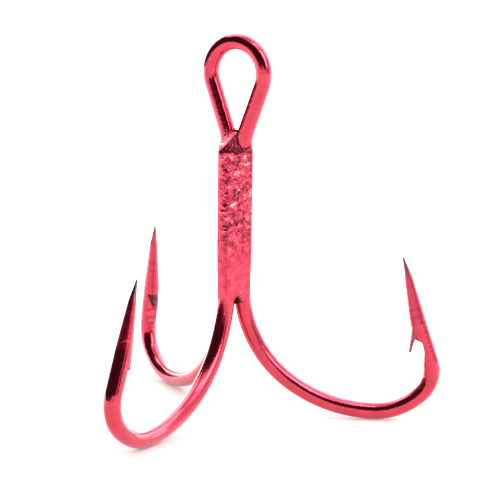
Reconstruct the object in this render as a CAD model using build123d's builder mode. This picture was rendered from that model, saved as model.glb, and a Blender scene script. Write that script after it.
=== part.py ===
"""Treble hook: two pieces of round wire brazed together along their shanks.

The first wire makes the eye and two of the hooks, the second makes the third hook.
The origin is the centre of the eye.  The eye lies in the XZ plane, so a ring passes
through it along Y, and the shanks run down -Z to the three bends.
"""

import os
from math import asin, cos, radians, sin, sqrt

from build123d import *

os.makedirs("parts", exist_ok=True)

# Wire, and the clearance that brazing metal fills between two shanks.
WIRE_DIA = 1.3
SHANK_CLEARANCE = 0.05

# Teardrop eye, measured on the wire's centre line.
CROWN_RADIUS = 2.35
SIDE_LEAN = 21.0
NECK_RADIUS = 4.2

# Hook outline, measured on the wire's centre line, from the shank to the point.
SHANK_LENGTH = 10.5
THROAT_RADIUS = 9.2
THROAT_TURN = 55.3
BOTTOM_RADIUS = 11.0
RISE_RADIUS = 5.0
RISE_TURN = 43.8
HEEL_RADIUS = 2.6
POINT_LEAN = 18.8
POINT_LENGTH = 8.2

# Ground point: a long cone whose back follows the wire, with a short bevel at its end.
CONE_LENGTH = 5.3
BEVEL_LENGTH = 1.6
BEVEL_DIA = 0.58
TIP_DIA = 0.08
TIP_INSET = 0.1

# Barb: a sliver cut from the wire on the shank side, just below the cone, and lifted.
BARB_LENGTH = 1.5
BARB_WIDTH = 0.8
BARB_THICKNESS = 0.26
BARB_LIFT = 0.6
NOTCH_DEPTH = 0.4
NOTCH_ROOT = 0.75
NOTCH_LENGTH = 3.3

# Braze: a thin coat around the three shanks, a web below them and a fillet in the eye.
BRAZE_COAT = 0.07
BRAZE_WEB = 1.0
BRAZE_BELOW_NECK = 0.15
FILLET_HEIGHT = 1.55
FILLET_DIP = 0.25
FILLET_THICKNESS = 0.8

# The third hook's shank is sheared off at a slope in front of the neck of the eye.
SINGLE_SHANK_EXTRA = 1.05
SHANK_END_SLOPE = 42.0

# Direction of each hook around the shanks, and the extra turn of its heel: the three
# points of a treble never stand exactly alike.
RIGHT, LEFT, SINGLE = 30, 150, -90
HEEL_SET = {RIGHT: 0.0, LEFT: -7.4, SINGLE: 3.6}

wire_radius = WIRE_DIA / 2
shank_pitch = WIRE_DIA + SHANK_CLEARANCE
shank_offset = shank_pitch / sqrt(3)
bundle_y = -shank_pitch / (2 * sqrt(3))

# The eye's sides are straight, tangent to the crown above and to the necks below.
lean = radians(SIDE_LEAN)
neck_widening = NECK_RADIUS * (1 - cos(lean))
side_length = (CROWN_RADIUS * cos(lean) - shank_pitch / 2 - neck_widening) / sin(lean)
shank_top_z = -(CROWN_RADIUS + NECK_RADIUS) * sin(lean) - side_length * cos(lean)
shank_foot_z = shank_top_z - SHANK_LENGTH


def hook_plane(azimuth, height):
    """Upright plane of one hook: X points away from the shanks and Y points up."""
    outward = (cos(radians(azimuth)), sin(radians(azimuth)), 0)
    sideways = (sin(radians(azimuth)), -cos(radians(azimuth)), 0)
    return Plane(origin=(0, bundle_y, height), x_dir=outward, z_dir=sideways)


def lay_wire(path):
    """Sweep the round wire along a path."""
    with BuildSketch(Plane(origin=path @ 0, z_dir=path % 0)) as section:
        Circle(wire_radius)
    sweep(sections=section.sketch, path=path)


def add_eye():
    """Teardrop eye, from the top of one shank round to the top of the other."""
    with BuildLine(Plane.XZ) as eye:
        neck = JernArc((-shank_pitch / 2, shank_top_z), (0, 1), NECK_RADIUS, SIDE_LEAN)
        side = PolarLine(neck @ 1, side_length, direction=neck % 1)
        crown = JernArc(side @ 1, side % 1, CROWN_RADIUS, -180 - 2 * SIDE_LEAN)
        far_side = PolarLine(crown @ 1, side_length, direction=crown % 1)
        JernArc(far_side @ 1, far_side % 1, NECK_RADIUS, SIDE_LEAN)
    lay_wire(eye.line)


def add_point(tip_direction, base, sideways):
    """Ground point beyond the base of the cone, and the barb below it."""
    point_plane = Plane(origin=base, x_dir=sideways.cross(tip_direction), z_dir=tip_direction)
    rings = []
    for along, radius, inset in (
        (0, wire_radius, 0),
        (CONE_LENGTH - BEVEL_LENGTH, BEVEL_DIA / 2, 0),
        (CONE_LENGTH, TIP_DIA / 2, TIP_INSET),
    ):
        with BuildSketch(point_plane.offset(along)) as ring:
            with Locations((inset - (wire_radius - radius), 0)):
                Circle(radius)
        rings.append(ring.sketch)
    loft(sections=rings, ruled=True)

    # Side view of the barb: X runs towards the tip and Y towards the shanks.
    side_view = Plane(origin=base, x_dir=tip_direction, z_dir=sideways)
    notch_floor = wire_radius - NOTCH_DEPTH
    with BuildSketch(side_view) as notch:
        with BuildLine():
            Spline(
                (-NOTCH_ROOT, wire_radius - NOTCH_DEPTH / 2),
                (-NOTCH_ROOT - NOTCH_DEPTH, notch_floor),
                (-NOTCH_LENGTH, wire_radius + NOTCH_DEPTH / 2),
            )
            Polyline(
                (-NOTCH_LENGTH, wire_radius + NOTCH_DEPTH / 2),
                (-NOTCH_LENGTH, WIRE_DIA),
                (-NOTCH_ROOT, WIRE_DIA),
                (-NOTCH_ROOT, wire_radius - NOTCH_DEPTH / 2),
            )
        make_face()
    extrude(notch.sketch, amount=wire_radius, both=True, mode=Mode.SUBTRACT)
    with BuildSketch(side_view) as barb:
        with BuildLine():
            Polyline(
                (0, 0),
                (0, wire_radius),
                (-BARB_LENGTH, wire_radius + BARB_LIFT),
                (-BARB_LENGTH, wire_radius + BARB_LIFT - BARB_THICKNESS),
                (-NOTCH_ROOT, wire_radius - NOTCH_DEPTH / 2),
                (-NOTCH_ROOT, 0),
                close=True,
            )
        make_face()
    extrude(barb.sketch, amount=BARB_WIDTH / 2, both=True)


def add_hook(azimuth, shank_extra=0.0):
    """One whole hook: shank, bend, straight part, ground point and barb."""
    plane = hook_plane(azimuth, shank_foot_z)
    heel_turn = 90 + POINT_LEAN + HEEL_SET[azimuth] - RISE_TURN
    with BuildLine(plane) as wire:
        shank = Line((shank_offset, SHANK_LENGTH + shank_extra), (shank_offset, 0))
        throat = JernArc(shank @ 1, shank % 1, THROAT_RADIUS, THROAT_TURN)
        bottom = JernArc(throat @ 1, throat % 1, BOTTOM_RADIUS, 90 - THROAT_TURN)
        rise = JernArc(bottom @ 1, bottom % 1, RISE_RADIUS, RISE_TURN)
        heel = JernArc(rise @ 1, rise % 1, HEEL_RADIUS, heel_turn)
        straight = PolarLine(heel @ 1, POINT_LENGTH - CONE_LENGTH, direction=heel % 1)
    lay_wire(wire.line)
    add_point(straight % 1, straight @ 1, plane.z_dir)


# Eyed double hook: one wire, with a hook at each end and the eye in the middle.
with BuildPart() as eyed_double_hook:
    add_eye()
    for azimuth in (RIGHT, LEFT):
        add_hook(azimuth)
eyed_double_hook.part.label = "eyed_double_hook"

# Single hook: the third wire, laid in the groove in front of the other two shanks.
with BuildPart() as single_hook:
    add_hook(SINGLE, SINGLE_SHANK_EXTRA)
    slope = radians(SHANK_END_SLOPE)
    inner_edge = (0, bundle_y - shank_offset + wire_radius, shank_top_z + SINGLE_SHANK_EXTRA)
    with BuildSketch(Plane(origin=inner_edge, z_dir=(0, -sin(slope), cos(slope)))):
        Rectangle(4 * WIRE_DIA, 4 * WIRE_DIA)
    extrude(amount=WIRE_DIA, mode=Mode.SUBTRACT)
single_hook.part.label = "single_hook"

# Braze: everything inside a rounded triangle around the shanks that isn't wire.
braze_foot_z = shank_foot_z - BRAZE_WEB
braze_top_z = shank_top_z - BRAZE_BELOW_NECK
fillet_half_width = shank_pitch / 2 + NECK_RADIUS * (1 - cos(asin(FILLET_HEIGHT / NECK_RADIUS)))
with BuildPart() as braze:
    with BuildSketch(Plane(origin=(0, bundle_y, braze_foot_z))):
        RegularPolygon(radius=shank_offset, side_count=3, rotation=SINGLE)
        offset(amount=wire_radius + BRAZE_COAT)
    extrude(amount=braze_top_z - braze_foot_z)
    with BuildSketch(Plane.XZ):
        with BuildLine():
            Polyline(
                (-fillet_half_width, shank_top_z + FILLET_HEIGHT),
                (-shank_pitch / 2, braze_top_z),
                (shank_pitch / 2, braze_top_z),
                (fillet_half_width, shank_top_z + FILLET_HEIGHT),
            )
            ThreePointArc(
                (fillet_half_width, shank_top_z + FILLET_HEIGHT),
                (0, shank_top_z + FILLET_HEIGHT - FILLET_DIP),
                (-fillet_half_width, shank_top_z + FILLET_HEIGHT),
            )
        make_face()
    extrude(amount=FILLET_THICKNESS / 2, both=True)
    add(eyed_double_hook.part, mode=Mode.SUBTRACT)
    add(single_hook.part, mode=Mode.SUBTRACT)
braze.part.label = "braze"

for piece in (eyed_double_hook, single_hook, braze):
    export_step(piece.part, f"parts/{piece.part.label}.step")
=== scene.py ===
"""Studio scene for a treble hook: bright wire hooks brazed together, under clear red lacquer."""

from math import cos, exp, pi, radians, sin, sqrt, tan

import bpy
import numpy as np
from mathutils import Matrix, Vector, noise


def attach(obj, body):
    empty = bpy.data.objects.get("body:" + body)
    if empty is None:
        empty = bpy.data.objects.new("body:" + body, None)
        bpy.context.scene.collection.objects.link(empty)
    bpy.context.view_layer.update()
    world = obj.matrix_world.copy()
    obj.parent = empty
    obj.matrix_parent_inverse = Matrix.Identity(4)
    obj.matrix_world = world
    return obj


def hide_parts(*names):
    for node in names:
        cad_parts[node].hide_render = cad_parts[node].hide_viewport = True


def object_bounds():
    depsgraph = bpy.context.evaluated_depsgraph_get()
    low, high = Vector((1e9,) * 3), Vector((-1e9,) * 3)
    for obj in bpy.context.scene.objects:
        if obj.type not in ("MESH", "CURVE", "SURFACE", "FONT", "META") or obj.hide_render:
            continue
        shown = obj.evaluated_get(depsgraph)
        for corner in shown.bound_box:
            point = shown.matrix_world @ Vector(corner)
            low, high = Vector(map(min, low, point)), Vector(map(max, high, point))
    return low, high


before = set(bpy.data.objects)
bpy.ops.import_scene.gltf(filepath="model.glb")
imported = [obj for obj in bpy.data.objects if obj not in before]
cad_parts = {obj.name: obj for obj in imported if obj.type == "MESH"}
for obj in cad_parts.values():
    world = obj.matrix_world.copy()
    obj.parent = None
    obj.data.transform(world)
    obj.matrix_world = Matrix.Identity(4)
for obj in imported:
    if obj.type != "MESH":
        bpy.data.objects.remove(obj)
cad_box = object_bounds()

MM = 0.001

# Vector noise takes its offsets from a seed, and without one they would change from run to run.
NOISE_SEED = 11
noise.seed_set(NOISE_SEED)

# ---------------------------------------------------------------- sizes, in millimetres
# Wire and shanks.
WIRE_RADIUS = 0.65
WIRE_SIDES = 72
SHANK_PITCH = 1.35
SHANK_OFFSET = SHANK_PITCH / sqrt(3)
BUNDLE_Y = -SHANK_PITCH / (2 * sqrt(3))
# Drawn and bent wire is never perfectly true: long waves and finer ripples, all within its size.
WAVE_DEPTH = 0.006
WAVE_INSET = 0.009
WAVES_PER_MM = 0.55
RIPPLE_DEPTH = 0.0022
RIPPLES_PER_MM = 2.6

# Teardrop eye, on the wire's centre line.
CROWN_RADIUS = 2.35
SIDE_LEAN = 21.0
NECK_RADIUS = 4.2

# Hook outline, on the wire's centre line.
SHANK_LENGTH = 10.5
THROAT_RADIUS = 9.2
THROAT_TURN = 55.3
BOTTOM_RADIUS = 11.0
RISE_RADIUS = 5.0
RISE_TURN = 43.8
HEEL_RADIUS = 2.6
POINT_LEAN = 18.8
POINT_LENGTH = 8.2

# Distance between stations along each kind of run.
BEND_STEP = 0.16
EYE_STEP = 0.14
HEEL_STEP = 0.05
POINT_STEP = 0.03

# Ground point: a long cone, then a short bevel with two flats that meet in an edge.
CONE_LENGTH = 5.3
CONE_CURVE = 1.08
BEVEL_LENGTH = 1.6
BEVEL_RADIUS = 0.31
BEVEL_CURVE = 0.92
TIP_RADIUS = 0.05
TIP_INSET = 0.2
FACET_TURN = 16.0
FACET_EDGE = 0.035
FACET_LEAD = 0.12
# The lacquer is worn off the last of the tip, and further down on its back.
WORN_LEFT = 0.5
WORN_BACK = 0.6

# Barb: a tongue cut up from the wire, and the notch that the cut leaves behind it.
BARB_ROOT = 0.3
BARB_STRAIGHT = 0.12
BARB_SINK = 0.03
BARB_LEAN = 24.0
BARB_HALF_WIDTH = 0.52
BARB_TIP_HALF_WIDTH = 0.26
BARB_THICKNESS = 0.62
BARB_TIP_THICKNESS = 0.24
BARB_HEEL_THICKNESS = 0.25
BARB_SIDES = 30
BARB_RINGS = 44
BURR_WARP = 0.03
BURR_RAGGED = 0.1
NOTCH_ROOT_SHARE = 0.59
NOTCH_LENGTH = 2.5
NOTCH_DEPTH = 0.35
NOTCH_DEEPENING = 0.06
NOTCH_STEP = 0.12
NOTCH_ENTRY = 0.3
NOTCH_RUN_OUT = 1.9

# Marks of the pliers on the single hook's point, placed from the root of the ground part.
MARKED_LENGTH = 4.0
PINCH_AT = 0.45
PINCH_DEPTH = 0.025
PINCH_WIDTH = 0.06
PINCH_SLANT = 0.5
NICK_AT = -1.9
NICK_DEPTH = 0.06
NICK_WIDTH = 0.1

# The single hook's sheared shank end, and the hooks' directions and heel settings.
SINGLE_SHANK_EXTRA = 1.05
SHANK_END_SLOPE = 42.0
RIGHT, LEFT, SINGLE = 30, 150, -90
HEEL_SET = {RIGHT: 0.0, LEFT: -7.4, SINGLE: 3.6}
# Where each barb starts to lift, from the root of the ground point, and how long it is.
BARBS = {RIGHT: (0.0, 1.85), LEFT: (-0.3, 1.15), SINGLE: (0.0, 1.1)}

# Braze: its coat over the wires, and heights from the foot of the shanks.
BRAZE_COAT = 0.06
BRAZE_SKIN = 0.03
BRAZE_DIP = 0.04
BRAZE_WEB = 1.4
BRAZE_WEB_FULL = -0.55
BRAZE_COVERS_FROM = 0.2
BRAZE_COVERS_ALL = 3.4
BRAZE_ROUGH_FROM = 1.2
BRAZE_ROUGH_ALL = 5.6
BRAZE_ABOVE_SHANK = 1.2
BRAZE_SIDES = 250
BRAZE_LEVELS = 310
LEAST_REACH = 0.02

# Crumbs on the braze, how rough it is on its smooth and its fed sides, and its painted pits and shade.
CRUMB_DEPTH = 0.075
LUMPS_PER_MM = 3.6
RIDGES_PER_MM = 2.0
GRAINS_PER_MM = 7.0
SWIRLS_PER_MM = 3.0
SWIRL_REACH = 0.12
FED_FROM = -35.0
SMOOTH_SHARE = 0.12
GROOVE_SHARE = 0.7
FOOT_SHARE = 0.1
PAINTED_PIT_SHARE = 0.45
WEB_SHADE = 1.6

# Front fillet, a slope from the braze back to the crotch of the eye, and the skin on the sheared end.
FRONT_FILLET_ANGLE = -48.0
FRONT_FILLET_REACH = 1.03
FRONT_FILLET_SLOPE = 27.0
FRONT_FILLET_FOOT = -0.35
FRONT_FILLET_COVER = 0.03
END_SKIN = 0.05
END_RIPPLE = 0.02

# Saddle of filler in the crotch of the eye.
FILLET_HEIGHT = 1.35
FILLET_HALF_WIDTH = 0.42
SADDLE_SPREAD = 1.4
SADDLE_DEPTH = 0.6
SADDLE_RISE = 1.6
SADDLE_HALF_THICKNESS = 0.26
SADDLE_FLARE = 0.5
SADDLE_RIPPLE = 0.02
SADDLE_SIDES = 28
SADDLE_RINGS = 26

EDGE_ANGLE = radians(38)

side_run = (
    CROWN_RADIUS * cos(radians(SIDE_LEAN)) - SHANK_PITCH / 2 - NECK_RADIUS * (1 - cos(radians(SIDE_LEAN)))
) / sin(radians(SIDE_LEAN))
shank_top = -(CROWN_RADIUS + NECK_RADIUS) * sin(radians(SIDE_LEAN)) - side_run * cos(radians(SIDE_LEAN))
shank_foot = shank_top - SHANK_LENGTH


# ---------------------------------------------------------------- shape helpers
def walk(start, heading, moves, step):
    """Points along straight runs and tangent arcs: (x, y, heading in radians).

    A move is a length, or a pair of radius and turn in degrees, left turns positive.
    """
    x, y = start
    heading = radians(heading)
    points = [(x, y, heading)]
    for move in moves:
        if isinstance(move, tuple):
            radius, turn = move[0], radians(move[1])
            side = 1 if turn > 0 else -1
            count = max(2, round(radius * abs(turn) / step))
            cx = x - side * radius * sin(heading)
            cy = y + side * radius * cos(heading)
            for i in range(1, count + 1):
                h = heading + turn * i / count
                points.append((cx + side * radius * sin(h), cy - side * radius * cos(h), h))
        else:
            count = max(1, round(move / step))
            for i in range(1, count + 1):
                along = move * i / count
                points.append((x + along * cos(heading), y + along * sin(heading), heading))
        x, y, heading = points[-1]
    return points


def smooth(value, low, high):
    """0 up to low, 1 from high on, and an even S between them."""
    share = max(0.0, min(1.0, (value - low) / (high - low)))
    return share * share * (3 - 2 * share)


class Station:
    """One place along a wire: where it is, which way it runs, and what is cut there."""

    def __init__(self, centre, tangent, inward=None, past_cone=None, barb=(0.0, 0.0)):
        self.centre = centre
        self.tangent = tangent
        self.inward = inward
        self.past_cone = past_cone
        self.barb = barb


def hook_stations(azimuth, shank_extra=0.0):
    """Stations of one hook, from the top of its shank to its tip."""
    outward = Vector((cos(radians(azimuth)), sin(radians(azimuth)), 0))
    up = Vector((0, 0, 1))
    origin = Vector((0, BUNDLE_Y, shank_foot))
    heel_turn = 90 + POINT_LEAN + HEEL_SET[azimuth] - RISE_TURN
    bend = walk(
        (SHANK_OFFSET, SHANK_LENGTH + shank_extra),
        -90,
        [
            SHANK_LENGTH + shank_extra,
            (THROAT_RADIUS, THROAT_TURN),
            (BOTTOM_RADIUS, 90 - THROAT_TURN),
            (RISE_RADIUS, RISE_TURN),
        ],
        BEND_STEP,
    )
    heel = walk(bend[-1][:2], bend[-1][2] * 180 / pi, [(HEEL_RADIUS, heel_turn)], HEEL_STEP)
    point = walk(heel[-1][:2], heel[-1][2] * 180 / pi, [POINT_LENGTH], POINT_STEP)
    lengths = [0.0]
    outline = bend + heel[1:] + point[1:]
    for a, b in zip(outline, outline[1:]):
        lengths.append(lengths[-1] + sqrt((b[0] - a[0]) ** 2 + (b[1] - a[1]) ** 2))
    cone_at = lengths[-1] - CONE_LENGTH
    stations = []
    for (r, z, heading), length in zip(outline, lengths):
        centre = origin + outward * r + up * z
        tangent = outward * cos(heading) + up * sin(heading)
        inward = outward * -sin(heading) + up * cos(heading)
        stations.append(Station(centre, tangent, inward, length - cone_at, BARBS[azimuth]))
    return stations


def eye_stations():
    """Stations of the eye, from the top of the right-hand shank round to the left."""
    outline = walk(
        (SHANK_PITCH / 2, shank_top),
        90,
        [
            (NECK_RADIUS, -SIDE_LEAN),
            side_run,
            (CROWN_RADIUS, 180 + 2 * SIDE_LEAN),
            side_run,
            (NECK_RADIUS, -SIDE_LEAN),
        ],
        EYE_STEP,
    )
    return [Station(Vector((x, 0, z)), Vector((cos(h), 0, sin(h)))) for x, z, h in outline]


def turned_round(stations):
    """The same stations, met from their other end."""
    return [
        Station(place.centre, -place.tangent, place.inward, place.past_cone, place.barb)
        for place in reversed(stations)
    ]


def notch_depth(past_cone, barb):
    """How deep the barb's cut goes into the wire, measured from its surface."""
    barb_set, barb_length = barb
    below_root = barb_set - NOTCH_ROOT_SHARE * barb_length - past_cone
    if below_root < 0 or below_root > NOTCH_LENGTH:
        return 0.0
    entry = smooth(below_root, -NOTCH_STEP, NOTCH_ENTRY)
    run_out = smooth(NOTCH_LENGTH - below_root, 0.0, NOTCH_RUN_OUT)
    return (NOTCH_DEPTH + NOTCH_DEEPENING * barb_length) * entry * run_out


def ground_section(past_cone):
    """Radius of the ground point, and how far its centre moves to the back."""
    if past_cone <= 0:
        return WIRE_RADIUS, 0.0
    bevel_at = CONE_LENGTH - BEVEL_LENGTH
    if past_cone < bevel_at:
        share = past_cone / bevel_at
        radius = WIRE_RADIUS + (BEVEL_RADIUS - WIRE_RADIUS) * share ** CONE_CURVE
        return radius, WIRE_RADIUS - radius
    share = (past_cone - bevel_at) / BEVEL_LENGTH
    radius = BEVEL_RADIUS + (TIP_RADIUS - BEVEL_RADIUS) * share ** BEVEL_CURVE
    return radius, WIRE_RADIUS - radius - TIP_INSET * share


def inner_surface(past_cone):
    """Height of the point's inner surface over the wire's axis."""
    radius, shift = ground_section(past_cone)
    return radius - shift


def grind_facets(spot, place, shift):
    """Press a place on the point on to the two flats that meet in an edge at its tip."""
    bevel_at = CONE_LENGTH - BEVEL_LENGTH
    share = (place.past_cone - bevel_at + FACET_LEAD) / (BEVEL_LENGTH + FACET_LEAD)
    if share <= 0:
        return spot
    middle = place.centre - place.inward * shift
    side = place.tangent.cross(place.inward)
    reach = BEVEL_RADIUS * (1 - share) + FACET_EDGE
    for hand in (1, -1):
        flat = side * hand * cos(radians(FACET_TURN)) - place.inward * sin(radians(FACET_TURN))
        over = (spot - middle).dot(flat) - reach
        if over > 0:
            spot = spot - flat * over
    return spot


def tool_marks(arm, place):
    """Depth of the shallow dents that pliers left: a pinch on the outer side, a nick on one side."""
    outer = smooth(-arm.dot(place.inward), 0.2, 0.9)
    pinch = PINCH_DEPTH * outer * smooth(arm.x, -0.25, 0.25)
    pinch *= exp(-(((place.past_cone - PINCH_AT - PINCH_SLANT * arm.x) / PINCH_WIDTH) ** 2))
    nick = NICK_DEPTH * smooth(-arm.x, 0.55, 0.95)
    nick *= exp(-(((place.past_cone - NICK_AT) / NICK_WIDTH) ** 2))
    return pinch + nick


def under_front_fillet(spot):
    """Keep a place on the single hook's sheared end just under the braze's front fillet."""
    outward = Vector((cos(radians(FRONT_FILLET_ANGLE)), sin(radians(FRONT_FILLET_ANGLE)), 0))
    rise = spot.z - shank_top - FRONT_FILLET_FOOT
    if rise < 0:
        return spot
    reach = (spot - Vector((0, BUNDLE_Y, 0))).dot(outward)
    over = reach - (FRONT_FILLET_REACH - FRONT_FILLET_COVER - rise * tan(radians(FRONT_FILLET_SLOPE)))
    return spot - outward * max(0.0, over)


def tube_sides(rings, around):
    """Faces round a tube made of rings of places."""
    faces = []
    for ring in range(rings - 1):
        for i in range(around):
            j = (i + 1) % around
            a = ring * around
            b = a + around
            faces.append((a + i, a + j, b + j, b + i))
    return faces


def capped_tube(rings, around):
    """Faces round a tube and across its two ends."""
    first = tuple(range(around))[::-1]
    last = tuple(range((rings - 1) * around, rings * around))
    return tube_sides(rings, around) + [first, last]


def solid_mesh(name, verts, faces, marks=None):
    """A mesh whose points carry the numbers that its finish reads."""
    mesh = bpy.data.meshes.new(name)
    mesh.from_pydata(verts, [], faces)
    for label, values in (marks or {}).items():
        layer = mesh.attributes.new(label, "FLOAT", "POINT")
        layer.data.foreach_set("value", values)
    mesh.update()
    return mesh


def waviness(arm, centre):
    """How far the drawn wire stands out of true, on one side of one station."""
    wave = WAVE_DEPTH * noise.noise(arm * 1.3 + centre * WAVES_PER_MM) - WAVE_INSET
    return wave + RIPPLE_DEPTH * noise.noise(arm * 2.5 + centre * RIPPLES_PER_MM)


def wire_mesh(name, stations, shear=None):
    """Round wire along the stations, with its ground points and barb cuts."""
    around = WIRE_SIDES
    verts, grounds, bares, runs = [], [], [], []
    normal = stations[0].tangent.orthogonal().normalized()
    length = 0.0
    for index, place in enumerate(stations):
        if index:
            previous = stations[index - 1]
            length += (place.centre - previous.centre).length
            normal = previous.tangent.rotation_difference(place.tangent) @ normal
        normal = (normal - place.tangent * normal.dot(place.tangent)).normalized()
        across = place.tangent.cross(normal)
        radius, shift = WIRE_RADIUS, 0.0
        cut = 0.0
        if place.inward:
            radius, shift = ground_section(place.past_cone)
            cut = notch_depth(place.past_cone, place.barb)
        for i in range(around):
            turn = 2 * pi * i / around
            arm = normal * cos(turn) + across * sin(turn)
            wave = waviness(arm, place.centre)
            if shear and place.past_cone > -MARKED_LENGTH:
                wave -= tool_marks(arm, place)
            spot = place.centre + arm * (radius + wave * radius / WIRE_RADIUS)
            if place.inward:
                spot -= place.inward * shift
                reach = (spot - place.centre).dot(place.inward)
                limit = WIRE_RADIUS - cut
                if cut and reach > limit:
                    spot -= place.inward * (reach - limit)
                spot = grind_facets(spot, place, shift)
            # The sheared end is within the first third of the stations.
            if shear and index < len(stations) // 3:
                back_y, top_z, slope = shear
                roof = top_z + (spot.y - back_y) * tan(radians(slope))
                spot.z = min(spot.z, roof)
                spot = under_front_fillet(spot)
            verts.append(spot * MM)
            ground, bare = 0.0, 0.0
            if place.inward:
                back = -arm.dot(place.inward)
                ground = smooth(place.past_cone, -0.2, 0.4)
                worn = place.past_cone + WORN_BACK * back
                bare = smooth(worn, CONE_LENGTH - BEVEL_LENGTH, CONE_LENGTH - WORN_LEFT)
            grounds.append(ground)
            bares.append(bare)
            runs.append(length)
    rings = len(stations)
    faces = tube_sides(rings, around)
    for ring, flip in ((0, True), (rings - 1, False)):
        base = ring * around
        hub = sum((verts[base + i] for i in range(around)), Vector()) / around
        verts.append(hub)
        grounds.append(grounds[base])
        bares.append(bares[base])
        runs.append(runs[base])
        for i in range(around):
            j = (i + 1) % around
            trio = (base + i, base + j, len(verts) - 1)
            faces.append(trio[::-1] if flip else trio)
    return solid_mesh(name, verts, faces, {"ground": grounds, "bare": bares, "run": runs})


def barb_mesh(name, stations):
    """Tongue of wire lifted by the cut: round outside, flat beneath, ending in a blunt burr."""
    around = BARB_SIDES
    base = min(stations, key=lambda place: abs(place.past_cone))
    tip, inward = base.tangent, base.inward
    side = tip.cross(inward)
    arc = around * 2 // 3
    barb_set, barb_length = base.barb
    verts, bares = [], []
    for k in range(BARB_RINGS + 1):
        past = BARB_ROOT - (barb_length + BARB_ROOT) * k / BARB_RINGS
        share = smooth(-past, 0.0, barb_length)
        bent = max(0.0, -past - BARB_STRAIGHT)
        outside = inner_surface(max(past, -BARB_STRAIGHT) + barb_set) - BARB_SINK
        outside += bent * tan(radians(BARB_LEAN))
        half = BARB_HALF_WIDTH + (BARB_TIP_HALF_WIDTH - BARB_HALF_WIDTH) * share
        thick = BARB_THICKNESS + (BARB_TIP_THICKNESS - BARB_THICKNESS) * share
        thick += BARB_HEEL_THICKNESS * smooth(past, -1.0, -0.6)
        for i in range(around):
            if i < arc:
                wide = half * sin(-pi / 2 + pi * i / (arc - 1))
                out = outside - WIRE_RADIUS + sqrt(WIRE_RADIUS ** 2 - wide ** 2)
            else:
                wide = half * (1 - 2 * (i - arc + 1) / (around - arc + 1))
                out = outside - thick
            spot = base.centre + tip * (past + barb_set) + inward * out + side * wide
            spot += inward * BURR_WARP * share * noise.noise(spot * 6)
            spot += side * BURR_WARP * share * noise.noise(spot * 5 + inward * 4)
            spot += tip * BURR_RAGGED * smooth(share, 0.9, 1.0) * noise.noise(spot * 5 + side * 9)
            verts.append(spot * MM)
            bares.append(0.6 * smooth(share, 0.5, 1.0))
    # The rings run down the wire, so each face is turned over to look outwards.
    faces = [face[::-1] for face in capped_tube(BARB_RINGS + 1, around)]
    half_ground, no_run = [0.5] * len(verts), [0.0] * len(verts)
    return solid_mesh(name, verts, faces, {"ground": half_ground, "bare": bares, "run": no_run})


def shade(mesh):
    """Smooth shading, except at real edges."""
    for face in mesh.polygons:
        face.use_smooth = True
    mesh.set_sharp_from_angle(angle=EDGE_ANGLE)


def add_object(name, mesh):
    """Put a shaded mesh in the scene."""
    piece = bpy.data.objects.new(name, mesh)
    bpy.context.scene.collection.objects.link(piece)
    shade(mesh)
    return piece


def join_solids(piece, extra):
    """Make one closed solid of two that overlap."""
    union = piece.modifiers.new("union", "BOOLEAN")
    union.operation = "UNION"
    union.solver = "EXACT"
    union.object = extra
    depsgraph = bpy.context.evaluated_depsgraph_get()
    joined = bpy.data.meshes.new_from_object(piece.evaluated_get(depsgraph))
    piece.modifiers.clear()
    piece.data = joined
    shade(joined)
    bpy.data.objects.remove(extra)


# ---------------------------------------------------------------- the two wires
right = hook_stations(RIGHT)
left = hook_stations(LEFT)
single = hook_stations(SINGLE, SINGLE_SHANK_EXTRA)

double_run = turned_round(right) + eye_stations()[1:-1] + left
eyed_double_hook = add_object("eyed_double_hook_wire", wire_mesh("eyed_double_hook_wire", double_run))
for hook in (right, left):
    join_solids(eyed_double_hook, add_object("barb", barb_mesh("barb", hook)))

inner_edge_y = BUNDLE_Y - SHANK_OFFSET + WIRE_RADIUS
shear = (inner_edge_y, shank_top + SINGLE_SHANK_EXTRA, SHANK_END_SLOPE)
single_hook = add_object("single_hook_wire", wire_mesh("single_hook_wire", single, shear))
join_solids(single_hook, add_object("barb", barb_mesh("barb", single)))


# ---------------------------------------------------------------- braze
def wire_centres(z):
    """Where the three wires stand at a height, measured from the bundle's axis."""
    spread = 0.0
    if z < shank_foot:
        spread = THROAT_RADIUS - sqrt(THROAT_RADIUS ** 2 - (shank_foot - z) ** 2)
    neck = 0.0
    if z > shank_top:
        neck = NECK_RADIUS - sqrt(NECK_RADIUS ** 2 - (z - shank_top) ** 2)
    offset = SHANK_OFFSET + spread
    centres = {a: Vector((offset * cos(radians(a)), offset * sin(radians(a)))) for a in (SINGLE, RIGHT, LEFT)}
    centres[RIGHT].x += neck
    centres[LEFT].x -= neck
    return centres


def wires_radius(angle, centres, reach):
    """Distance from the bundle's axis to the outside of the round wires, along one angle."""
    best = 0.0
    ray = Vector((cos(angle), sin(angle)))
    for centre in centres.values():
        along = centre.dot(ray)
        beside = centre.length_squared - along * along
        if beside < reach * reach and along > 0:
            best = max(best, along + sqrt(reach * reach - beside))
    return best


def hull_radius(angle, reach):
    """Distance from the bundle's axis to the rounded triangle around the three wires."""
    flat = SHANK_OFFSET / 2 + reach
    best = SHANK_OFFSET + reach
    for face in (-30, 90, 210):
        facing_it = cos(angle - radians(face))
        if facing_it > 0.05:
            best = min(best, flat / facing_it)
    return best


def crumbs(x, y, z):
    """Crumbly surface of filler metal: lumps a few tenths of a millimetre across, about -1 to 1."""
    spot = Vector((x, y, z))
    bent = spot + noise.noise_vector(spot * SWIRLS_PER_MM) * SWIRL_REACH
    cell = noise.voronoi(bent * LUMPS_PER_MM)[0]
    lump = 1.0 - 2.2 * cell[0]
    ridge = 0.7 * noise.noise(spot * RIDGES_PER_MM)
    fine = 0.5 * noise.fractal(spot * GRAINS_PER_MM, 0.8, 2.2, 3)
    return 0.6 * lump + ridge + fine


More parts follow.
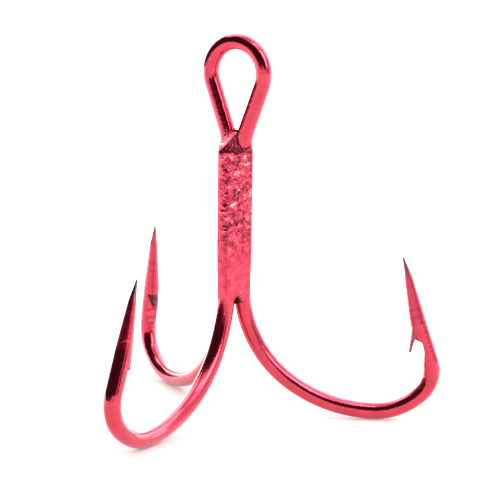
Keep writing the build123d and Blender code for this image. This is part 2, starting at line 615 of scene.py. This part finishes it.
def crumbliness(angle):
    """How rough the filler is round the shanks: most on the side it was fed from."""
    fed_side = smooth(cos(angle - radians(FED_FROM)), 0.42, 0.85)
    grooves = smooth(cos(3 * (angle + radians(30))), 0.1, 0.9)
    return SMOOTH_SHARE + (1 - SMOOTH_SHARE) * max(fed_side, GROOVE_SHARE * grooves)


def braze_level(angle, z, hull, centres):
    """How far the filler reaches from the bundle's axis at one angle and height, and its tint value: crumbs
    with painted shade in their hollows and painted highlights on their tops.
    """
    above_foot = z - shank_foot
    above_top = z - shank_top
    x, y = cos(angle), sin(angle)
    patchy = noise.noise(Vector((x, y, z * 0.7)) * 1.4)
    fillet_angle = radians(FRONT_FILLET_ANGLE)
    front = smooth(cos(angle - fillet_angle), 0.35, 0.7)
    # The grooves are full along the shanks and run out at the foot and up the neck.
    run_out = 1 - smooth(above_top, -0.5 + 0.3 * patchy + 1.4 * front, 1.0 + 0.2 * front)
    fill = smooth(above_foot, -BRAZE_WEB, BRAZE_WEB_FULL) * run_out
    # The coat thins out up the legs of the eye, and stays on the single hook's shank.
    leg = 1 - smooth(cos(angle - radians(SINGLE)), 0.3, 0.8)
    cover = smooth(above_foot, BRAZE_COVERS_FROM + 0.8 * patchy, BRAZE_COVERS_ALL)
    cover *= 1 - leg * smooth(above_top, -0.2 + 0.3 * patchy, 0.9)
    bare = wires_radius(angle, centres, WIRE_RADIUS)
    radius = bare + max(0.0, hull - bare) * fill
    radius += (BRAZE_SKIN + BRAZE_DIP) * cover - BRAZE_DIP
    height_share = FOOT_SHARE + (1 - FOOT_SHARE) * smooth(above_foot, BRAZE_ROUGH_FROM, BRAZE_ROUGH_ALL)
    rough = crumbliness(angle) * height_share * cover
    crumb_and_shade = rough * crumbs(x * radius, y * radius, z)
    radius += CRUMB_DEPTH * crumb_and_shade
    # Lower down, painted pits: darker and lighter flecks in the tint alone. Deep between the wires where they
    # part, the web is darkened: painted shade.
    crumb_and_shade += PAINTED_PIT_SHARE * cover * (1 - rough) * crumbs(x * 1.7, y * 1.7, z * 1.3)
    crumb_and_shade -= WEB_SHADE * smooth(-above_foot, 0.4, 0.6) * smooth(hull - radius, 0.12, 0.3)
    # A smooth fillet slopes from the braze back to the crotch of the eye.
    facing_fillet = cos(angle - fillet_angle)
    if above_top > FRONT_FILLET_FOOT and facing_fillet > 0.3:
        slope = (above_top - FRONT_FILLET_FOOT) * tan(radians(FRONT_FILLET_SLOPE))
        wet = (FRONT_FILLET_REACH - slope) / facing_fillet + 0.01 * crumbs(x, y, z)
        # The fillet takes the darkest tint: painted shade in the crotch of the eye.
        if wet < radius:
            radius, crumb_and_shade = wet, -0.7
    # Filler wets the sheared end of the single hook's shank.
    if y < 0:
        roof_y = inner_edge_y - BUNDLE_Y + (above_top - SINGLE_SHANK_EXTRA) / tan(radians(SHANK_END_SLOPE))
        skin = END_SKIN + END_RIPPLE * crumbs(x * 1.3, roof_y, z)
        roof = max(LEAST_REACH, (skin - roof_y) / -y)
        # The filler on the end takes a paler tint: a painted highlight.
        if roof < radius:
            radius, crumb_and_shade = roof, 0.3 + 0.5 * crumbs(x, y, z * 1.5)
    return max(LEAST_REACH, radius), crumb_and_shade


def braze_mesh(name):
    """The lumpy skin of filler metal round the shanks, closed at its foot and top."""
    levels = np.linspace(shank_foot - BRAZE_WEB, shank_top + BRAZE_ABOVE_SHANK, BRAZE_LEVELS)
    angles = [2 * pi * i / BRAZE_SIDES for i in range(BRAZE_SIDES)]
    hulls = [hull_radius(angle, WIRE_RADIUS + BRAZE_COAT) for angle in angles]
    verts, lump_shades = [], []
    for z in levels:
        centres = wire_centres(z)
        for angle, hull in zip(angles, hulls):
            radius, crumb_and_shade = braze_level(angle, z, hull, centres)
            lump_shades.append(crumb_and_shade)
            verts.append(Vector((cos(angle) * radius, BUNDLE_Y + sin(angle) * radius, z)) * MM)
    return solid_mesh(name, verts, capped_tube(BRAZE_LEVELS, BRAZE_SIDES), {"lump_shade": lump_shades})


def crotch_mesh(name):
    """Small saddle of filler between the legs of the eye, thicker where it meets them."""
    verts = []
    for k in range(SADDLE_RINGS + 1):
        x = FILLET_HALF_WIDTH * SADDLE_SPREAD * (2 * k / SADDLE_RINGS - 1)
        top = shank_top + FILLET_HEIGHT + SADDLE_RISE * x * x
        foot = shank_top - SADDLE_DEPTH
        half = SADDLE_HALF_THICKNESS + SADDLE_FLARE * x * x
        for i in range(SADDLE_SIDES):
            turn = 2 * pi * i / SADDLE_SIDES
            y = half * cos(turn)
            z = (top + foot) / 2 + (top - foot) / 2 * sin(turn)
            spot = Vector((x, y, z))
            ripple = SADDLE_RIPPLE * noise.noise(spot * 5)
            verts.append((spot + Vector((0, ripple, ripple))) * MM)
    return solid_mesh(name, verts, capped_tube(SADDLE_RINGS + 1, SADDLE_SIDES))


braze = add_object("braze_filler", braze_mesh("braze_filler"))
join_solids(braze, add_object("crotch", crotch_mesh("crotch")))


# ---------------------------------------------------------------- finishes
def linear(hex_colour, alpha=1.0):
    """sRGB hex to the linear values that shaders use."""
    values = [int(hex_colour[i:i + 2], 16) / 255 for i in (1, 3, 5)]
    return tuple(v / 12.92 if v <= 0.04045 else ((v + 0.055) / 1.055) ** 2.4 for v in values) + (alpha,)


def add_node(tree, kind, settings=None, links=None):
    """Add a node, set its properties and inputs, and link its inputs."""
    node = tree.nodes.new(kind)
    for key, value in (settings or {}).items():
        if isinstance(key, int) or key in node.inputs:
            node.inputs[key].default_value = value
        else:
            setattr(node, key, value)
    for key, source in (links or {}).items():
        tree.links.new(source, node.inputs[key])
    return node


def new_material(name):
    """A material with an empty node tree, and that tree."""
    material = bpy.data.materials.new(name)
    material.use_nodes = True
    material.node_tree.nodes.clear()
    return material, material.node_tree


def red_lacquer_on_wire():
    """Clear red lacquer over bright plated wire: a mirror that tints what it shows, white at its edges."""
    material, tree = new_material("red_lacquer_on_bright_wire")
    place = add_node(tree, "ShaderNodeTexCoord")
    # The red is darker and lighter in patches a millimetre or two across: painted shade and painted light in
    # what the wire mirrors.
    painted_shade_patches = add_node(
        tree, "ShaderNodeTexNoise", {"Scale": 1 / (1.6 * MM), "Detail": 3.0},
        {"Vector": place.outputs["Object"]},
    )
    tint = add_node(tree, "ShaderNodeValToRGB", links={"Fac": painted_shade_patches.outputs["Fac"]})
    tint.color_ramp.elements[0].position = 0.3
    tint.color_ramp.elements[0].color = linear("#C81438")
    tint.color_ramp.elements[1].position = 0.7
    tint.color_ramp.elements[1].color = linear("#E02448")
    # Ground steel takes a brighter coat, and the very tip is worn to dull metal.
    ground = add_node(tree, "ShaderNodeAttribute", {"attribute_name": "ground"})
    ground_tint = add_node(
        tree, "ShaderNodeMix", {"data_type": "RGBA", 7: linear("#D41E46")},
        {0: ground.outputs["Fac"], 6: tint.outputs["Color"]},
    )
    bare = add_node(tree, "ShaderNodeAttribute", {"attribute_name": "bare"})
    worn_tint = add_node(
        tree, "ShaderNodeMix", {"data_type": "RGBA", 7: linear("#6E2A38")},
        {0: bare.outputs["Fac"], 6: ground_tint.outputs[2]},
    )
    # Grinding leaves rings a few tenths of a millimetre apart round the point, some of them deep. The deep
    # ones are darkened in the tint: painted shade in the grooves.
    run = add_node(tree, "ShaderNodeAttribute", {"attribute_name": "run"})
    rings = add_node(
        tree, "ShaderNodeTexNoise", {"noise_dimensions": "1D", "Scale": 1 / 0.3, "Detail": 3.0},
        {"W": run.outputs["Fac"]},
    )
    grooves = add_node(
        tree, "ShaderNodeMapRange", {"From Min": 0.56, "From Max": 0.66, "To Max": 0.45},
        {"Value": rings.outputs["Fac"]},
    )
    groove_shade = add_node(
        tree, "ShaderNodeMath", {"operation": "MULTIPLY"},
        {0: grooves.outputs["Result"], 1: ground.outputs["Fac"]},
    )
    groove_shaded_tint = add_node(
        tree, "ShaderNodeMix", {"data_type": "RGBA", 7: linear("#7A0E28")},
        {0: groove_shade.outputs[0], 6: worn_tint.outputs[2]},
    )
    ring_weight = add_node(
        tree, "ShaderNodeMath", {"operation": "MULTIPLY"},
        {0: rings.outputs["Fac"], 1: ground.outputs["Fac"]},
    )
    # Dust and runs in the lacquer, about a quarter of a millimetre across.
    orange_peel = add_node(
        tree, "ShaderNodeTexNoise", {"Scale": 1 / (0.25 * MM), "Detail": 4.0, "Roughness": 0.6},
        {"Vector": place.outputs["Object"]},
    )
    peel = add_node(
        tree, "ShaderNodeBump", {"Strength": 1.0, "Distance": 0.018 * MM},
        {"Height": orange_peel.outputs["Fac"]},
    )
    relief = add_node(
        tree, "ShaderNodeBump", {"Strength": 0.6, "Distance": 0.012 * MM},
        {"Height": ring_weight.outputs[0], "Normal": peel.outputs["Normal"]},
    )
    sheen = add_node(
        tree, "ShaderNodeMapRange", {"To Min": 0.12, "To Max": 0.3}, {"Value": ground.outputs["Fac"]}
    )
    shader = add_node(
        tree, "ShaderNodeBsdfPrincipled",
        {"Metallic": 1.0, "Coat Weight": 1.0, "Coat IOR": 1.62, "Coat Roughness": 0.05},
        {
            "Base Color": groove_shaded_tint.outputs[2],
            "Roughness": sheen.outputs["Result"],
            "Normal": relief.outputs["Normal"],
        },
    )
    add_node(tree, "ShaderNodeOutputMaterial", links={"Surface": shader.outputs["BSDF"]})
    return material


def red_lacquer_on_braze():
    """The same lacquer over crumbly filler metal, darker in its hollows and pits and paler on its lumps:
    painted shade and painted highlights.
    """
    material, tree = new_material("red_lacquer_on_braze")
    place = add_node(tree, "ShaderNodeTexCoord")
    lump_shade = add_node(tree, "ShaderNodeAttribute", {"attribute_name": "lump_shade"})
    patches = add_node(
        tree, "ShaderNodeTexNoise", {"Scale": 1 / (0.5 * MM), "Detail": 5.0, "Roughness": 0.7},
        {"Vector": place.outputs["Object"]},
    )
    tint_shade_level = add_node(
        tree, "ShaderNodeMath", {"operation": "MULTIPLY_ADD", 1: 0.42},
        {0: lump_shade.outputs["Fac"], 2: patches.outputs["Fac"]},
    )
    # Low values are dark maroon, painted shade; high values are pale pink-white, painted highlights.
    tint = add_node(tree, "ShaderNodeValToRGB", links={"Fac": tint_shade_level.outputs[0]})
    tint.color_ramp.elements[0].position = 0.2
    tint.color_ramp.elements[0].color = linear("#6A0E26")
    tint.color_ramp.elements[1].position = 0.85
    tint.color_ramp.elements[1].color = linear("#FBBCC6")
    tint.color_ramp.elements.new(0.36).color = linear("#BC2844")
    tint.color_ramp.elements.new(0.5).color = linear("#DC3450")
    tint.color_ramp.elements.new(0.66).color = linear("#EE566E")
    grain = add_node(
        tree, "ShaderNodeTexNoise", {"Scale": 1 / (0.09 * MM), "Detail": 4.0, "Roughness": 0.6},
        {"Vector": place.outputs["Object"]},
    )
    relief = add_node(
        tree, "ShaderNodeBump", {"Strength": 0.8, "Distance": 0.02 * MM}, {"Height": grain.outputs["Fac"]}
    )
    shader = add_node(
        tree, "ShaderNodeBsdfPrincipled",
        {"Metallic": 1.0, "Roughness": 0.12, "Coat Weight": 0.8, "Coat IOR": 1.45, "Coat Roughness": 0.06},
        {"Base Color": tint.outputs["Color"], "Normal": relief.outputs["Normal"]},
    )
    add_node(tree, "ShaderNodeOutputMaterial", links={"Surface": shader.outputs["BSDF"]})
    return material


def glowing(name, colour, strength):
    """A panel's own light, for the surroundings."""
    material, tree = new_material(name)
    glow = add_node(tree, "ShaderNodeEmission", {"Color": linear(colour), "Strength": strength})
    add_node(tree, "ShaderNodeOutputMaterial", links={"Surface": glow.outputs["Emission"]})
    return material


wire_finish = red_lacquer_on_wire()
braze_finish = red_lacquer_on_braze()
for piece, node, finish, slot in (
    (eyed_double_hook, "eyed_double_hook", wire_finish, "coated_wire"),
    (single_hook, "single_hook", wire_finish, "coated_wire"),
    (braze, "braze", braze_finish, "coated_braze"),
):
    piece.data.materials.clear()
    piece.data.materials.append(finish)
    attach(piece, "root")
    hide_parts(node)


# ---------------------------------------------------------------- camera
SENSOR_WIDTH = 36.0
VIEW_AZIMUTH = radians(32.84)
VIEW_ELEVATION = radians(10.67)
VIEW_ROLL = radians(-0.74)
VIEW_DISTANCE = 170.2
VIEW_AIM = Vector((1.11, 0.327, -13.36))
FOCAL_SHARE = 4.505

forward = Vector((
    -sin(VIEW_AZIMUTH) * cos(VIEW_ELEVATION), cos(VIEW_AZIMUTH) * cos(VIEW_ELEVATION), -sin(VIEW_ELEVATION)
))
level_right = Vector((cos(VIEW_AZIMUTH), sin(VIEW_AZIMUTH), 0))
level_up = level_right.cross(forward)
right_way = level_right * cos(VIEW_ROLL) - level_up * sin(VIEW_ROLL)
up_way = level_right * sin(VIEW_ROLL) + level_up * cos(VIEW_ROLL)
camera_data = bpy.data.cameras.new("camera")
camera_data.sensor_width = SENSOR_WIDTH
camera_data.lens = SENSOR_WIDTH * FOCAL_SHARE
camera_data.clip_start = 0.01
camera_data.clip_end = 20.0
camera = bpy.data.objects.new("camera", camera_data)
bpy.context.scene.collection.objects.link(camera)
turn = Matrix((right_way, up_way, -forward)).transposed().to_4x4()
camera.matrix_world = Matrix.Translation((VIEW_AIM - forward * VIEW_DISTANCE) * MM) @ turn
bpy.context.scene.camera = camera
bpy.context.scene.view_settings.view_transform = "Standard"


# ---------------------------------------------------------------- studio
FLOOR_Z = cad_box[0].z
FLOOR_REACH = 3.0
HOOK_MIDDLE = Vector((0, 0, -14)) * MM
CARD_STEPS = 40
# A hump in the foot of a rising card, in degrees to the right of the camera's side.
HUMP_AT = -5.0
HUMP_WIDTH = 12.0
HUMP_SHARE = 0.6


def facing(azimuth, elevation, distance):
    """A place seen from the hook at an angle from the camera's side, right positive."""
    turn = VIEW_AZIMUTH + radians(azimuth)
    level = Vector((sin(turn), -cos(turn), 0)) * cos(radians(elevation))
    return HOOK_MIDDLE + (level + Vector((0, 0, sin(radians(elevation))))) * distance * MM


def card(name, sides, heights, distance, material, rise=0.0):
    """A curved panel round the hook, between two azimuths and two elevations.

    Its foot may rise to the right by a number of degrees, with a hump on the way.
    """
    verts, faces = [], []
    steps = CARD_STEPS
    for i in range(steps + 1):
        azimuth = sides[0] + (sides[1] - sides[0]) * i / steps
        hump = HUMP_SHARE * exp(-(((azimuth - HUMP_AT) / HUMP_WIDTH) ** 2))
        low = heights[0] + rise * ((i / steps) ** 2 + hump)
        for j in range(steps + 1):
            verts.append(facing(azimuth, low + (heights[1] - low) * j / steps, distance))
    for i in range(steps):
        for j in range(steps):
            a = i * (steps + 1) + j
            faces.append((a, a + 1, a + steps + 2, a + steps + 1))
    mesh = bpy.data.meshes.new(name)
    mesh.from_pydata(verts, [], faces)
    panel = bpy.data.objects.new(name, mesh)
    bpy.context.scene.collection.objects.link(panel)
    mesh.materials.append(material)
    panel.visible_camera = False
    panel.visible_diffuse = False
    panel.visible_shadow = False
    return panel


# What the lacquered wire mirrors: a dark room in front, bright walls behind, and two softboxes.
dark_room = glowing("dark_room", "#403A3E", 1.0)
card("dark_room", (-102, 36), (-1, 64), 420, dark_room, rise=12)
card("dark_room_side", (-138, -101), (-1, 44), 422, dark_room)
card("dark_ceiling", (30, 84), (52, 66), 418, dark_room)
card("dark_stand", (43, 58), (3, 13), 400, dark_room)
bright_room = glowing("bright_room", "#FFFFFF", 3.6)
card("bright_room", (104, 252), (-1, 70), 430, bright_room)
softbox = glowing("softbox", "#FFFFFF", 6.0)
card("softbox", (42, 58), (18, 56), 400, softbox)
card("softbox_above", (-5, 50), (68, 78), 410, softbox)

floor_mesh = bpy.data.meshes.new("floor")
corners = [(x * FLOOR_REACH, y * FLOOR_REACH, FLOOR_Z) for x, y in ((-1, -1), (1, -1), (1, 1), (-1, 1))]
floor_mesh.from_pydata(corners, [], [(0, 1, 2, 3)])
floor = bpy.data.objects.new("floor", floor_mesh)
bpy.context.scene.collection.objects.link(floor)
floor_paint, floor_tree = new_material("white_floor")
floor_place = add_node(floor_tree, "ShaderNodeTexCoord")
# The floor is lit from beneath: little under the hook, more behind it and far away.
backwards = Vector((-sin(VIEW_AZIMUTH), cos(VIEW_AZIMUTH), 0))
behind = add_node(
    floor_tree, "ShaderNodeVectorMath", {"operation": "DOT_PRODUCT", 1: backwards},
    {0: floor_place.outputs["Object"]},
)
backlight = add_node(
    floor_tree, "ShaderNodeMapRange",
    {"interpolation_type": "SMOOTHSTEP", "From Min": -60 * MM, "From Max": 70 * MM, "To Max": 1.8},
    {"Value": behind.outputs["Value"]},
)
away = add_node(
    floor_tree, "ShaderNodeVectorMath", {"operation": "LENGTH"}, {0: floor_place.outputs["Object"]}
)
clear_of_hook = add_node(
    floor_tree, "ShaderNodeMapRange",
    {"interpolation_type": "SMOOTHSTEP", "From Min": 15 * MM, "From Max": 70 * MM},
    {"Value": away.outputs["Value"]},
)
far_floor = add_node(
    floor_tree, "ShaderNodeMapRange",
    {
        "interpolation_type": "SMOOTHSTEP", "From Min": 40 * MM, "From Max": 110 * MM,
        "To Min": 0.08, "To Max": 0.4,
    },
    {"Value": away.outputs["Value"]},
)
floor_glow = add_node(
    floor_tree, "ShaderNodeMath", {"operation": "MULTIPLY_ADD"},
    {0: backlight.outputs["Result"], 1: clear_of_hook.outputs["Result"], 2: far_floor.outputs["Result"]},
)
floor_shader = add_node(
    floor_tree, "ShaderNodeBsdfPrincipled",
    {"Base Color": linear("#F2F1F1"), "Roughness": 0.6, "Emission Color": linear("#FFFFFF")},
    {"Emission Strength": floor_glow.outputs[0]},
)
add_node(floor_tree, "ShaderNodeOutputMaterial", links={"Surface": floor_shader.outputs["BSDF"]})
floor_mesh.materials.append(floor_paint)

world = bpy.data.worlds.new("studio")
bpy.context.scene.world = world
world.use_nodes = True
world.node_tree.nodes["Background"].inputs["Color"].default_value = linear("#FFFFFF")
world.node_tree.nodes["Background"].inputs["Strength"].default_value = 1.0

key = bpy.data.lights.new("key", "AREA")
key.energy = 0.35
key.size = 0.25
key_light = bpy.data.objects.new("key", key)
bpy.context.scene.collection.objects.link(key_light)
key_light.location = facing(50, 55, 380)
key_light.rotation_euler = (HOOK_MIDDLE - key_light.location).to_track_quat("-Z", "Y").to_euler()
